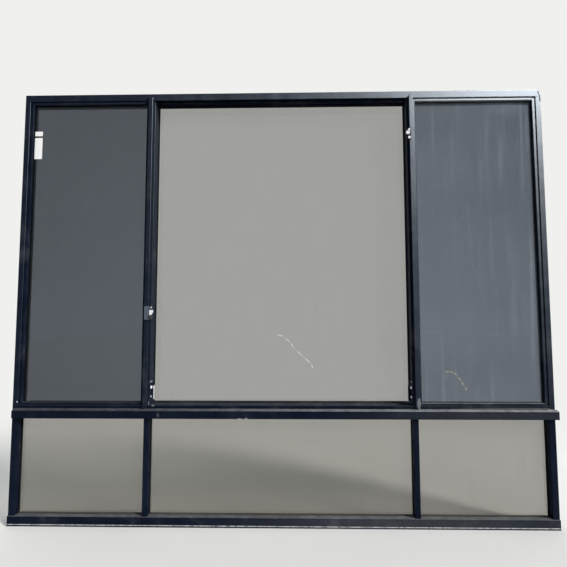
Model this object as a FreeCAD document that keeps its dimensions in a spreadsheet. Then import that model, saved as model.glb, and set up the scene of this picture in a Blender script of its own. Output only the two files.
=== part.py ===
"""Horizontal sliding window over three fixed low lights, in millimetres.

Two framed sashes run in the room-side track of the upper frame, in front of a fixed centre light and two
insect screens. A coupling transom carries the upper frame on a lower frame with two mullions.

X runs along the window, Y from the room side to the outside, and Z up from the underside of the base sill.
The front lips of the upper frame lie in the plane Y = 0.
"""
import FreeCAD
import Part
import Sketcher
import os

SIZES = {
    # Overall frame
    "overall_width": 2410,
    "overall_height": 1965,
    "frame_depth": 102,
    "frame_wall": 3,
    "frame_edge": 1.5,
    "joint_gap": 0.2,
    # Base sill, low posts and coupling transom
    "low_depth": 48,
    "base_height": 43,
    "base_overhang": 6,
    "transom_bottom": 468,
    "transom_height": 34,
    "transom_overhang": 20,
    "transom_nose_rise": 7,
    "transom_shift": 8,
    "jamb_face": 28,
    "mullion_face": 24,
    "bay_half": 586,
    # Fixed glazing
    "glass_thick": 6,
    "glazing_side_room": 5,
    "pocket_deep": 15,
    "mullion_pocket": 8,
    "glass_edge_room": 3,
    "gasket_sight": 2,
    "gasket_fit": 0.2,
    # Upper head, sill and jambs
    "upper_jamb_face": 24,
    "head_lip": 32,
    "head_rear_leg": 26,
    "jamb_screen_leg": 18,
    "jamb_rear_leg": 8,
    "sill_lip": 22,
    "sill_rear_leg": 25,
    "sill_rib_foot": 8.5,
    "sill_rib_top": 1.5,
    "sill_rib_slope": 8,
    "sash_channel": 41,
    "screen_channel": 13,
    "track_height": 3,
    "track_wide": 3,
    # Fixed interlock mullions
    "interlock_set": 6,
    "interlock_face": 28,
    "interlock_nose": 20,
    "interlock_wall": 2.5,
    # Hooks of the interlocks and the meeting stiles
    "hook_wall": 2,
    "hook_play": 1,
    "hook_lap": 4,
    "hook_set": 12,
    "hook_end_room": 3,
    # Sashes
    "sash_front": 5,
    "sash_thick": 32,
    "sash_wall": 2.5,
    "sash_edge": 1,
    "sash_glass_thick": 5,
    "sash_glass_room": 3,
    "sash_pocket_deep": 12,
    "slope_wide": 3,
    "slope_deep": 3,
    "rear_leg_set": 8,
    "sash_sight": 16,
    "sash_side_room": 7,
    "sash_top_sight": 15,
    "sash_head_room": 7,
    "sash_sill_sight": 11,
    "sash_foot_room": 4,
    "stile_set": 1,
    "stile_face": 41,
    "pull_set": 10,
    "pull_face": 20,
    "pull_proud": 10,
    "pull_thick": 5,
    "pull_edge": 2,
    "pull_neck": 12,
    "pull_shoulder": 8,
    "pull_lap": 19,
    "pull_foot_room": 10,
    "lip_room": 3,
    # Rollers
    "wheel_radius": 7,
    "wheel_wide": 6,
    "flange_lip": 0.7,
    "flange_thick": 1,
    "axle_radius": 2,
    "roller_inset": 70,
    # Insect screens
    "screen_thick": 10,
    "screen_bar": 12,
    "screen_side_room": 1.5,
    "screen_lift_room": 6,
    "mesh_thick": 0.6,
    # Latch
    "latch_lift": 403,
    "latch_tall": 61,
    "latch_inset": 2,
    "latch_wide": 24,
    "latch_thick": 4,
    "latch_round": 3,
    "strip_wide": 12,
    "strip_thick": 2,
    "strip_ease": 4,
    "lever_room": 0.5,
    "lever_rise": 21,
    "lever_tall": 22,
    "lever_wide": 16,
    "lever_toe": 9,
    "lever_side": 9,
    "lever_thick": 8,
    "curl_rise": 8.5,
    "curl_radius": 6.5,
    "curl_hole": 3.2,
    "curl_thick": 5,
    # Catch
    "catch_drop": 181,
    "catch_tall": 56,
    "catch_wide": 12,
    "catch_thick": 6,
    "lobe_set": 2,
    "big_lobe_set": 8,
    "lobe_radius": 5,
    "big_lobe_radius": 9,
    "low_lobe_radius": 6,
    "lobe_drop": 8,
    "big_lobe_drop": 22,
    "low_lobe_drop": 45,
    # Foot brackets
    "bracket_tall": 88,
    "bracket_leg": 13,
    "bracket_leg_rise": 5,
    "bracket_leg_tall": 62,
    "bracket_thick": 2,
    "bracket_hole": 2,
    "bracket_hole_back": 10,
    "bracket_hole_rise": 20,
    "bracket_hole_step": 41,
    "stop_reach": 30,
    "stop_tall": 11,
    "stop_inset": 4,
    "stop_room": 2,
}

SIDES = {"left": -1, "right": 1}


class Term:
    """A length that carries its number and the sheet expression that drives it."""

    def __init__(self, value, text):
        self.value = value
        self.text = text

    @staticmethod
    def of(other):
        return other if isinstance(other, Term) else Term(other, str(other))

    def __add__(self, other):
        other = Term.of(other)
        return Term(self.value + other.value, f"({self.text} + {other.text})")

    def __sub__(self, other):
        other = Term.of(other)
        return Term(self.value - other.value, f"({self.text} - {other.text})")

    def __mul__(self, factor):
        return Term(self.value * factor, f"({self.text} * {factor})")

    def __truediv__(self, factor):
        return Term(self.value / factor, f"({self.text} / {factor})")

    def __neg__(self):
        return self * -1


class Sizes:
    """The driving sheet, read by attribute as terms."""

    def __init__(self, document, table):
        self.sheet = document.addObject("Spreadsheet::Sheet", "Sizes")
        for row, (alias, value) in enumerate(table.items(), start=1):
            self.sheet.set(f"A{row}", alias)
            self.sheet.set(f"B{row}", str(value))
            self.sheet.setAlias(f"B{row}", alias)
            setattr(self, alias, Term(value, f"Sizes.{alias}"))


doc = FreeCAD.newDocument("sliding_window")
S = Sizes(doc, SIZES)
doc.recompute()

ZERO = Term(0, "0")


# Drawing helpers

def new_body(label):
    body = doc.addObject("PartDesign::Body", label)
    body.Label = label
    return body


def new_sketch(body, role, start, name):
    """A sketch on one of the body's origin planes, moved along the plane's normal to start."""
    plane = next(f for f in body.Origin.OriginFeatures if getattr(f, "Role", "") == role)
    sketch = body.newObject("Sketcher::SketchObject", name)
    sketch.AttachmentSupport = (plane, [""])
    sketch.MapMode = "FlatFace"
    sketch.AttachmentOffset = FreeCAD.Placement(FreeCAD.Vector(0, 0, start.value), FreeCAD.Rotation())
    sketch.setExpression("AttachmentOffset.Base.z", start.text)
    return sketch


def pin(sketch, kind, line, end, term):
    number = sketch.addConstraint(Sketcher.Constraint(kind, -1, 1, line, end, term.value))
    sketch.setExpression(f"Constraints[{number}]", term.text)


def draw_outline(sketch, corners):
    """A closed outline whose every corner is pinned to its two terms."""
    first = sketch.GeometryCount
    points = [FreeCAD.Vector(Term.of(u).value, Term.of(v).value, 0) for u, v in corners]
    count = len(points)
    for k in range(count):
        sketch.addGeometry(Part.LineSegment(points[k], points[(k + 1) % count]), False)
    for k in range(count):
        sketch.addConstraint(Sketcher.Constraint("Coincident", first + k, 2, first + (k + 1) % count, 1))
    for k, (u, v) in enumerate(corners):
        pin(sketch, "DistanceX", first + k, 1, Term.of(u))
        pin(sketch, "DistanceY", first + k, 1, Term.of(v))


def draw_box(sketch, u0, v0, u1, v1):
    draw_outline(sketch, [(u0, v0), (u1, v0), (u1, v1), (u0, v1)])


def draw_disc(sketch, u, v, radius):
    number = sketch.addGeometry(
        Part.Circle(FreeCAD.Vector(u.value, v.value, 0), FreeCAD.Vector(0, 0, 1), radius.value), False)
    pin(sketch, "DistanceX", number, 3, u)
    pin(sketch, "DistanceY", number, 3, v)
    size = sketch.addConstraint(Sketcher.Constraint("Radius", number, radius.value))
    sketch.setExpression(f"Constraints[{size}]", radius.text)


def extrude(body, role, start, length, boxes=(), outlines=(), discs=(), cut=False, name="profile"):
    """Pad or pocket a profile from start by length along the plane's normal."""
    sketch = new_sketch(body, role, start, f"{body.Label}_{name}_sketch")
    for box in boxes:
        draw_box(sketch, *box)
    for outline in outlines:
        draw_outline(sketch, outline)
    for disc in discs:
        draw_disc(sketch, *disc)
    kind = "PartDesign::Pocket" if cut else "PartDesign::Pad"
    feature = body.newObject(kind, f"{body.Label}_{name}")
    feature.Profile = sketch
    feature.Length = length.value
    feature.setExpression("Length", length.text)
    feature.Reversed = cut
    before = body.Shape.Volume if cut else 0
    doc.recompute()
    if cut and not feature.Shape.Volume < before - 1e-6:
        raise RuntimeError(f"{feature.Label} cuts nothing")
    return feature


def post(body, foot, top, boxes=(), outlines=(), discs=(), cut=False, name="profile"):
    """An upright extrusion, drawn in X and Y."""
    return extrude(body, "XY_Plane", foot, top - foot, boxes, outlines, discs, cut, name)


def rail(body, left, right, boxes=(), outlines=(), discs=(), cut=False, name="profile"):
    """A level extrusion along the window, drawn in Y and Z."""
    return extrude(body, "YZ_Plane", left, right - left, boxes, outlines, discs, cut, name)


def sheet(body, front, back, boxes=(), outlines=(), discs=(), cut=False, name="profile"):
    """A flat piece in the plane of the window, drawn in X and Z."""
    return extrude(body, "XZ_Plane", -back, back - front, boxes, outlines, discs, cut, name)


def ease(body, radius, axes, places, name="eased"):
    """Round the straight edges that run through the given places, each given on two axes."""
    base = body.Tip
    names = []
    for number, edge in enumerate(base.Shape.Edges, start=1):
        ends = [(getattr(corner.Point, axes[0]), getattr(corner.Point, axes[1])) for corner in edge.Vertexes]
        for u, v in places:
            if all(abs(a - u.value) < 1e-4 and abs(b - v.value) < 1e-4 for a, b in ends):
                names.append(f"Edge{number}")
    if len(names) < len(places):
        raise RuntimeError(f"{body.Label} has no edge at some place to be rounded")
    fillet = body.newObject("PartDesign::Fillet", f"{body.Label}_{name}")
    fillet.Base = (base, names)
    fillet.Radius = radius.value
    fillet.setExpression("Radius", radius.text)
    doc.recompute()


def mirrored(side, outline):
    """An outline drawn from the centre line outwards, put on its side of the window."""
    return [(u * side, v) for u, v in outline]


def across(side, inner, outer):
    """The two X limits of something between two distances from the centre line, from left to right."""
    inner, outer = Term.of(inner), Term.of(outer)
    return (inner, outer) if side > 0 else (-outer, -inner)


def band(side, inner, outer, front, back):
    """A box in X and Y between two distances from the centre line."""
    low, high = across(side, inner, outer)
    return (low, front, high, back)


# Shared lines of the frame

half = S.overall_width / 2
back = S.frame_depth
wall = S.frame_wall
gap = S.joint_gap
transom_top = S.transom_bottom + S.transom_height
head_top = S.overall_height
head_lip_foot = head_top - S.head_lip
head_leg_foot = head_top - S.head_rear_leg
sill_lip_top = transom_top + S.sill_lip
sill_leg_top = transom_top + S.sill_rear_leg
sill_floor = transom_top + wall
head_roof = head_top - wall
low_jamb_inner = half - S.jamb_face
jamb_inner = half - S.upper_jamb_face
jamb_web = half - wall

sash_back = S.sash_front + S.sash_thick
sash_room_back = wall + S.sash_channel
mid_rib_back = sash_room_back + wall
screen_room_back = mid_rib_back + S.screen_channel
screen_rib_back = screen_room_back + wall
pocket_wide = S.glass_thick + S.glazing_side_room * 2
rear_pocket_back = back - wall
rear_pocket_front = rear_pocket_back - pocket_wide
rear_glass_front = rear_pocket_front + S.glazing_side_room

low_pocket_back = S.low_depth - wall
low_pocket_front = low_pocket_back - pocket_wide
low_glass_front = low_pocket_front + S.glazing_side_room
low_chamber_back = low_pocket_front - wall


# Base sill and lower frame

def build_base_sill():
    body = new_body("base_sill")
    front = -S.base_overhang
    rail(body, -half, half, [(front, ZERO, S.low_depth, S.base_height)])
    floor = S.base_height - S.pocket_deep
    hollows = [
        (front + wall, wall, low_chamber_back, S.base_height - wall),
        (low_pocket_front, wall, low_pocket_back, floor - wall),
        (low_pocket_front, floor, low_pocket_back, S.base_height),
    ]
    rail(body, -half, half, hollows, cut=True, name="chambers")
    ease(body, S.frame_edge, "yz", [(front, ZERO), (front, S.base_height)])


def build_transom():
    """A hollow coupling with a sloped nose that stands up before the foot of the upper frame."""
    body = new_body("transom")
    front = -S.transom_overhang
    left = S.transom_shift - half
    right = S.transom_shift + half
    nose_top = transom_top + S.transom_nose_rise
    rail(body, left, right, outlines=[[
        (front, S.transom_bottom), (back, S.transom_bottom), (back, transom_top), (-gap, transom_top),
        (-gap, nose_top), (front, transom_top),
    ]])
    roof = S.transom_bottom + S.pocket_deep
    hollows = [
        (front + wall, S.transom_bottom + wall, low_chamber_back, transom_top - wall),
        (low_pocket_front, S.transom_bottom, low_pocket_back, roof),
        (low_pocket_front, roof + wall, low_pocket_back, transom_top - wall),
        (S.low_depth, S.transom_bottom + wall, back - wall, transom_top - wall),
    ]
    rail(body, left, right, hollows, cut=True, name="chambers")
    ease(body, S.frame_edge, "yz", [(front, S.transom_bottom), (front, transom_top)])


def build_low_post(label, side, inner, outer, pockets):
    body = new_body(label)
    foot = S.base_height + gap
    top = S.transom_bottom - gap
    low, high = across(side, inner, outer)
    post(body, foot, top, [(low, ZERO, high, S.low_depth)])
    grooves = [band(side, a, b, low_pocket_front, low_pocket_back) for a, b in pockets]
    chamber = (low + wall, wall, high - wall, low_chamber_back)
    post(body, foot, top, grooves + [chamber], cut=True, name="chambers")
    ease(body, S.frame_edge, "xy", [(low, ZERO), (high, ZERO)])


mullion_outer = S.bay_half + S.mullion_face


def build_lower_frame():
    build_base_sill()
    build_transom()
    groove = S.mullion_pocket
    for word, side in SIDES.items():
        build_low_post(f"low_{word}_jamb", side, low_jamb_inner, half,
                       [(low_jamb_inner, low_jamb_inner + S.pocket_deep)])
        build_low_post(f"low_{word}_mullion", side, S.bay_half, mullion_outer,
                       [(S.bay_half, S.bay_half + groove), (mullion_outer - groove, mullion_outer)])


def build_glass(label, front, thick, left, right, foot, top):
    body = new_body(label)
    sheet(body, front, front + thick, [(left, foot, right, top)])


def build_gasket(label, pane, pocket, daylight, front, back_face, glass_front, glass_thick):
    """A U-section ring round a pane's edge, between the walls of its glazing pockets.

    pane, pocket and daylight are boxes in X and Z: the glass, the pockets' floors and the inner edges.
    """
    body = new_body(label)
    fit = S.gasket_fit
    sight = S.gasket_sight
    ring = (pocket[0] + fit, pocket[1] + fit, pocket[2] - fit, pocket[3] - fit)
    window = (daylight[0] + sight, daylight[1] + sight, daylight[2] - sight, daylight[3] - sight)
    sheet(body, front + fit, back_face - fit, [ring, window])
    play = fit / 4
    sheet(body, glass_front - play, glass_front + glass_thick + play,
          [(pane[0] - play, pane[1] - play, pane[2] + play, pane[3] + play)], cut=True, name="slot")


def build_low_lights():
    room = S.glass_edge_room
    foot_floor = S.base_height - S.pocket_deep
    roof = S.transom_bottom + S.pocket_deep
    groove = S.mullion_pocket
    lights = {"centre": (-S.bay_half, S.bay_half, -S.bay_half - groove, S.bay_half + groove)}
    for word, side in SIDES.items():
        day = across(side, mullion_outer, low_jamb_inner)
        floor = across(side, mullion_outer - groove, low_jamb_inner + S.pocket_deep)
        lights[word] = day + floor
    for word, (day_left, day_right, floor_left, floor_right) in lights.items():
        pane = (floor_left + room, foot_floor + room, floor_right - room, roof - room)
        build_glass(f"low_{word}_glass", low_glass_front, S.glass_thick, pane[0], pane[2], pane[1], pane[3])
        build_gasket(f"low_{word}_gasket", pane, (floor_left, foot_floor, floor_right, roof),
                     (day_left, S.base_height, day_right, S.transom_bottom),
                     low_pocket_front, low_pocket_back, low_glass_front, S.glass_thick)


# Upper frame

def build_head():
    body = new_body("head")
    reach = jamb_web - gap
    rail(body, -reach, reach, [(ZERO, head_lip_foot, back, head_top)])
    rail(body, -reach, reach, [(wall, head_lip_foot, back, head_leg_foot)], cut=True, name="step")
    channels = [
        (wall, head_leg_foot, sash_room_back, head_roof),
        (mid_rib_back, head_leg_foot, screen_room_back, head_roof),
        (screen_rib_back, head_leg_foot, rear_pocket_front - wall, head_roof),
        (rear_pocket_front, head_leg_foot, rear_pocket_back, head_roof),
    ]
    rail(body, -reach, reach, channels, cut=True, name="channels")
    ease(body, S.frame_edge, "yz", [(ZERO, head_lip_foot), (ZERO, head_top)])


def build_upper_sill():
    """The sill with its track, and a middle rib that slopes towards the room."""
    body = new_body("upper_sill")
    reach = jamb_inner - gap
    rail(body, -reach, reach, [(ZERO, transom_top, back, sill_leg_top)])
    track_left = S.sash_front + S.sash_thick / 2 - S.track_wide / 2
    track_right = track_left + S.track_wide
    track_top = sill_floor + S.track_height
    rib_foot = mid_rib_back - S.sill_rib_foot
    rib_top = mid_rib_back - S.sill_rib_top
    sash_channel = [
        (ZERO, sill_lip_top), (wall, sill_lip_top), (wall, sill_floor), (track_left, sill_floor),
        (track_left, track_top), (track_right, track_top), (track_right, sill_floor), (rib_foot, sill_floor),
        (rib_foot, sill_leg_top - S.sill_rib_slope), (rib_top, sill_leg_top), (ZERO, sill_leg_top),
    ]
    channels = [
        (mid_rib_back, sill_floor, screen_room_back, sill_leg_top),
        (screen_rib_back, sill_floor, rear_pocket_front - wall, sill_leg_top),
        (rear_pocket_front, sill_floor, rear_pocket_back, sill_leg_top),
    ]
    rail(body, -reach, reach, channels, [sash_channel], cut=True, name="channels")
    ease(body, S.frame_edge, "yz", [(ZERO, sill_lip_top)])


def build_upper_jamb(word, side):
    body = new_body(f"upper_{word}_jamb")
    foot = transom_top + gap
    post(body, foot, head_top, [band(side, jamb_inner, half, ZERO, back)])
    channels = [
        band(side, jamb_inner, jamb_web, wall, sash_room_back),
        band(side, jamb_inner, jamb_web, mid_rib_back, screen_room_back),
        band(side, jamb_inner, jamb_web, screen_rib_back, rear_pocket_back),
    ]
    post(body, foot, head_top, channels, cut=True, name="channels")
    trims = [
        band(side, jamb_inner, half - S.jamb_screen_leg, screen_room_back, screen_rib_back),
        band(side, jamb_inner, half - S.jamb_rear_leg, rear_pocket_back, back),
    ]
    post(body, foot, head_top, trims, cut=True, name="shorter_legs")
    post(body, head_leg_foot - gap, head_top, [band(side, jamb_inner, jamb_web, wall, back)],
         cut=True, name="head_cope")
    post(body, head_lip_foot - gap, head_top, [band(side, jamb_inner, jamb_web, ZERO, wall)],
         cut=True, name="lip_cope")
    ease(body, S.frame_edge, "xy", [(jamb_inner * side, ZERO), (half * side, ZERO)])


# Fixed centre light

interlock_inner = S.bay_half + S.interlock_set
interlock_outer = interlock_inner + S.interlock_face
interlock_foot = sill_leg_top + gap
interlock_top = head_leg_foot - gap
nose_outer = interlock_inner + S.interlock_nose
fixed_hook_inner = nose_outer - S.hook_wall
sash_hook_inner = S.bay_half + S.hook_set
sash_hook_outer = sash_hook_inner + S.hook_wall
hook_middle = (fixed_hook_inner + sash_hook_outer) / 2


def build_interlock(word, side):
    """A mullion whose nose ends in a hook, open to the middle, which catches the hook of the closed sash."""
    body = new_body(f"{word}_interlock")
    thin = S.interlock_wall
    inner = interlock_inner
    tip_front = sash_back + S.hook_play
    tip_back = tip_front + S.hook_wall
    tip_end = hook_middle - S.hook_lap / 2
    outline = [
        (inner, back), (interlock_outer, back),
        (interlock_outer, screen_rib_back), (nose_outer, screen_rib_back),
        (nose_outer, tip_front), (tip_end, tip_front), (tip_end, tip_back), (fixed_hook_inner, tip_back),
        (fixed_hook_inner, mid_rib_back), (inner, mid_rib_back),
    ]
    post(body, interlock_foot, interlock_top, outlines=[mirrored(side, outline)])
    pocket_floor = inner + S.pocket_deep
    hollows = [
        band(side, inner + thin, nose_outer - thin, mid_rib_back + thin, rear_pocket_front - thin),
        band(side, inner, pocket_floor, rear_pocket_front, rear_pocket_back),
        band(side, pocket_floor + thin, interlock_outer, rear_pocket_front, rear_pocket_back),
    ]
    post(body, interlock_foot, interlock_top, hollows, cut=True, name="chambers")
    ease(body, S.frame_edge, "xy", [(inner * side, mid_rib_back)])


def build_centre_light():
    for word, side in SIDES.items():
        build_interlock(word, side)
    room = S.glass_edge_room
    reach = interlock_inner + S.pocket_deep
    foot = sill_leg_top - S.pocket_deep
    top = head_leg_foot + S.pocket_deep
    pane = (room - reach, foot + room, reach - room, top - room)
    build_glass("centre_glass", rear_glass_front, S.glass_thick, pane[0], pane[2], pane[1], pane[3])
    build_gasket("centre_gasket", pane, (-reach, foot, reach, top),
                 (-interlock_inner, sill_leg_top, interlock_inner, head_leg_foot),
                 rear_pocket_front, rear_pocket_back, rear_glass_front, S.glass_thick)


# Sliding sashes

sash_pocket_wide = S.sash_glass_thick + S.sash_glass_room * 2
sash_pocket_front = S.sash_front + (S.sash_thick - sash_pocket_wide) / 2
sash_pocket_back = sash_pocket_front + sash_pocket_wide
sash_glass_front = sash_pocket_front + S.sash_glass_room
sash_top = head_roof - S.sash_head_room
sash_foot = sill_floor + S.sash_foot_room
sash_day_top = head_lip_foot - S.sash_top_sight
sash_day_foot = sill_lip_top + S.sash_sill_sight
sash_day_outer = jamb_inner - S.sash_sight
sash_outer = jamb_web - S.sash_side_room
stile_inner = S.bay_half + S.stile_set
sash_day_inner = stile_inner + S.stile_face
slope_back = S.sash_front + S.slope_deep
pull_inner = S.bay_half + S.pull_set
pull_outer = pull_inner + S.pull_face
pull_front = -S.pull_proud


def cut_glazing_slope(body, side, day, away):
    """Slope the front of a stile towards the glass, between the rails. away points from the glass."""
    slope = [(day, S.sash_front), (day + S.slope_wide * away, S.sash_front), (day, slope_back)]
    post(body, sash_day_foot, sash_day_top, outlines=[mirrored(side, slope)], cut=True, name="slope")


def shorten_rear_leg(body, side, day, away):
    """Set the leg behind the glass back from the daylight edge. away points from the glass."""
    low, high = (day, day + S.rear_leg_set) if away > 0 else (day - S.rear_leg_set, day)
    post(body, sash_day_foot, sash_day_top, [band(side, low, high, sash_pocket_back, sash_back)],
         cut=True, name="rear_leg")


def build_outer_stile(word, side):
    body = new_body(f"{word}_sash_outer_stile")
    thin = S.sash_wall
    post(body, sash_foot, sash_top, [band(side, sash_day_outer, sash_outer, S.sash_front, sash_back)])
    floor = sash_day_outer + S.sash_pocket_deep
    hollows = [
        band(side, sash_day_outer, floor, sash_pocket_front, sash_pocket_back),
        band(side, floor + thin, sash_outer - thin, S.sash_front + thin, sash_back - thin),
    ]
    post(body, sash_foot, sash_top, hollows, cut=True, name="chambers")
    cut_glazing_slope(body, side, sash_day_outer, 1)
    shorten_rear_leg(body, side, sash_day_outer, 1)


def build_meeting_stile(word, side):
    """A hollow stile with a hook behind it, and a pull along its front that laps head and sill."""
    body = new_body(f"{word}_sash_meeting_stile")
    thin = S.sash_wall
    floor = sash_day_inner - S.sash_pocket_deep
    post(body, sash_foot, sash_top, [band(side, stile_inner, sash_day_inner, S.sash_front, sash_back)])
    hollows = [
        band(side, floor, sash_day_inner, sash_pocket_front, sash_pocket_back),
        band(side, stile_inner + thin, floor - thin, S.sash_front + thin, sash_back - thin),
    ]
    post(body, sash_foot, sash_top, hollows, cut=True, name="chambers")
    cut_glazing_slope(body, side, sash_day_inner, -1)
    shorten_rear_leg(body, side, sash_day_inner, -1)
    ease(body, S.sash_edge, "xy", [(stile_inner * side, S.sash_front), (stile_inner * side, sash_back)])
    hook_back = mid_rib_back - S.hook_play
    tip_front = hook_back - S.hook_wall
    tip_end = hook_middle + S.hook_lap / 2
    hook = [
        (sash_hook_inner, sash_back), (sash_hook_inner, hook_back), (tip_end, hook_back),
        (tip_end, tip_front), (sash_hook_outer, tip_front), (sash_hook_outer, sash_back),
    ]
    post(body, interlock_foot + S.hook_end_room, interlock_top - S.hook_end_room,
         outlines=[mirrored(side, hook)], name="hook")
    flange_back = S.pull_thick - S.pull_proud
    neck_inner = pull_inner + (S.pull_face - S.pull_neck) / 2
    neck = band(side, neck_inner, neck_inner + S.pull_neck, flange_back, S.sash_front)
    post(body, sill_lip_top + S.lip_room, head_lip_foot - S.lip_room, [neck], name="neck")
    foot = transom_top + S.pull_foot_room
    top = head_lip_foot + S.pull_lap
    shoulder = pull_inner + S.pull_shoulder
    flange = [
        (pull_outer, foot), (pull_outer, top), (shoulder, top), (pull_inner, top - S.pull_shoulder),
        (pull_inner, foot + S.pull_shoulder), (shoulder, foot),
    ]
    sheet(body, pull_front, flange_back, outlines=[mirrored(side, flange)], name="pull")
    long_edges = [(pull_inner * side, pull_front), (pull_outer * side, pull_front)]
    ease(body, S.pull_edge, "xy", long_edges, "pull_eased")


def build_sash_rails(word, side):
    thin = S.sash_wall
    left, right = across(side, sash_day_inner + gap, sash_day_outer - gap)
    top_rail = new_body(f"{word}_sash_top_rail")
    rail(top_rail, left, right, outlines=[[
        (S.sash_front, sash_top), (sash_back, sash_top), (sash_back, sash_day_top),
        (slope_back, sash_day_top), (S.sash_front, sash_day_top + S.slope_wide),
    ]])
    roof = sash_day_top + S.sash_pocket_deep
    rail(top_rail, left, right, [
        (sash_pocket_front, sash_day_top, sash_pocket_back, roof),
        (S.sash_front + thin, roof + thin, sash_back - thin, sash_top - thin),
    ], cut=True, name="chambers")
    rail(top_rail, left, right, [(sash_pocket_back, sash_day_top, sash_back, sash_day_top + S.rear_leg_set)],
         cut=True, name="rear_leg")
    bottom_rail = new_body(f"{word}_sash_bottom_rail")
    rail(bottom_rail, left, right, outlines=[[
        (S.sash_front, sash_foot), (sash_back, sash_foot), (sash_back, sash_day_foot),
        (slope_back, sash_day_foot), (S.sash_front, sash_day_foot - S.slope_wide),
    ]])
    floor = sash_day_foot - S.sash_pocket_deep + thin
    rail(bottom_rail, left, right, [
        (sash_pocket_front, floor, sash_pocket_back, sash_day_foot),
        (S.sash_front + thin, sash_foot, sash_back - thin, floor - thin),
    ], cut=True, name="chambers")
    rail(bottom_rail, left, right, [(sash_pocket_back, sash_day_foot - S.rear_leg_set, sash_back, sash_day_foot)],
         cut=True, name="rear_leg")


def build_sash_glass(word, side):
    room = S.glass_edge_room
    bottom_floor = sash_day_foot - S.sash_pocket_deep + S.sash_wall
    roof = sash_day_top + S.sash_pocket_deep
    floor = across(side, sash_day_inner - S.sash_pocket_deep, sash_day_outer + S.sash_pocket_deep)
    day = across(side, sash_day_inner, sash_day_outer)
    pane = (floor[0] + room, bottom_floor + room, floor[1] - room, roof - room)
    build_glass(f"{word}_sash_glass", sash_glass_front, S.sash_glass_thick,
                pane[0], pane[2], pane[1], pane[3])
    build_gasket(f"{word}_sash_gasket", pane, (floor[0], bottom_floor, floor[1], roof),
                 (day[0], sash_day_foot, day[1], sash_day_top),
                 sash_pocket_front, sash_pocket_back, sash_glass_front, S.sash_glass_thick)


def build_rollers(word, side):
    """Two flanged wheels on axles across the roller channel of the bottom rail, standing on the track."""
    body = new_body(f"{word}_sash_rollers")
    body.AllowCompound = True
    middle = S.sash_front + S.sash_thick / 2
    centre_z = sill_floor + S.track_height + S.wheel_radius
    places = [(sash_day_inner + S.roller_inset) * side, (sash_day_outer - S.roller_inset) * side]
    wheel_front = middle - S.wheel_wide / 2
    wheel_back = middle + S.wheel_wide / 2
    flange = S.wheel_radius + S.flange_lip
    for name, radius, front, rear in (
        ("wheels", S.wheel_radius, wheel_front, wheel_back),
        ("front_flanges", flange, wheel_front, wheel_front + S.flange_thick),
        ("back_flanges", flange, wheel_back - S.flange_thick, wheel_back),
        ("axles", S.axle_radius, S.sash_front + S.sash_wall, sash_back - S.sash_wall),
    ):
        sheet(body, front, rear, discs=[(place, centre_z, radius) for place in places], name=name)


def build_sash(word, side):
    build_outer_stile(word, side)
    build_meeting_stile(word, side)
    build_sash_rails(word, side)
    build_sash_glass(word, side)
    build_rollers(word, side)


# Insect screens

def build_screen(word, side):
    room = S.screen_side_room
    front = mid_rib_back + (S.screen_channel - S.screen_thick) / 2
    rear = front + S.screen_thick
    bar = S.screen_bar
    foot = sill_floor + gap
    top = head_roof - S.screen_lift_room
    inner = nose_outer + room
    outer = jamb_web - room
    bars = new_body(f"{word}_screen_stiles")
    bars.AllowCompound = True
    pair = [band(side, inner, inner + bar, front, rear), band(side, outer - bar, outer, front, rear)]
    post(bars, foot, top, pair)
    ends = new_body(f"{word}_screen_rails")
    ends.AllowCompound = True
    left, right = across(side, inner + bar + gap, outer - bar - gap)
    rail(ends, left, right, [(front, foot, rear, foot + bar), (front, top - bar, rear, top)])
    mesh = new_body(f"{word}_screen_mesh")
    day = across(side, inner + bar, outer - bar)
    middle = (front + rear) / 2
    sheet(mesh, middle - S.mesh_thick / 2, middle + S.mesh_thick / 2,
          [(day[0] + gap, foot + bar + gap, day[1] - gap, top - bar - gap)])


# Latch, catch and brackets

def build_latch():
    """The latch on the left meeting stile: a plate on the pull, a strip, a wedge lever and a curl."""
    plate_left = S.latch_inset - pull_outer
    plate_right = plate_left + S.latch_wide
    strip_right = plate_right + S.strip_wide
    foot = transom_top + S.latch_lift
    top = foot + S.latch_tall
    plate = new_body("left_latch_plate")
    sheet(plate, pull_front - S.latch_thick, pull_front, [(plate_left, foot, plate_right, top)])
    strip = [
        (plate_right, foot), (strip_right - S.strip_ease, foot), (strip_right, foot + S.strip_ease),
        (strip_right, top - S.strip_ease), (strip_right - S.strip_ease, top), (plate_right, top),
    ]
    strip_front = pull_front - S.strip_thick
    sheet(plate, strip_front, pull_front, outlines=[strip], name="strip")
    ease(plate, S.latch_round, "xz", [(plate_left, foot), (plate_left, top)])
    lever = new_body("left_latch_lever")
    lever.AllowCompound = True
    left = plate_right + S.lever_room
    right = left + S.lever_wide
    toe = foot + S.lever_rise
    head = toe + S.lever_tall
    wedge = [
        (left, head), (left, toe), (left + S.lever_toe, toe), (right, head - S.lever_side), (right, head),
    ]
    sheet(lever, strip_front - S.lever_thick, strip_front, outlines=[wedge], name="wedge")
    curl_x = left + S.curl_radius
    curl_z = foot + S.curl_rise
    curl_front = strip_front - S.curl_thick
    sheet(lever, curl_front, strip_front,
          discs=[(curl_x, curl_z, S.curl_radius), (curl_x, curl_z, S.curl_hole)], name="curl")
    mouth = (left, curl_z, curl_x, curl_z + S.curl_radius)
    sheet(lever, curl_front, strip_front, [mouth], cut=True, name="curl_mouth")


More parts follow.
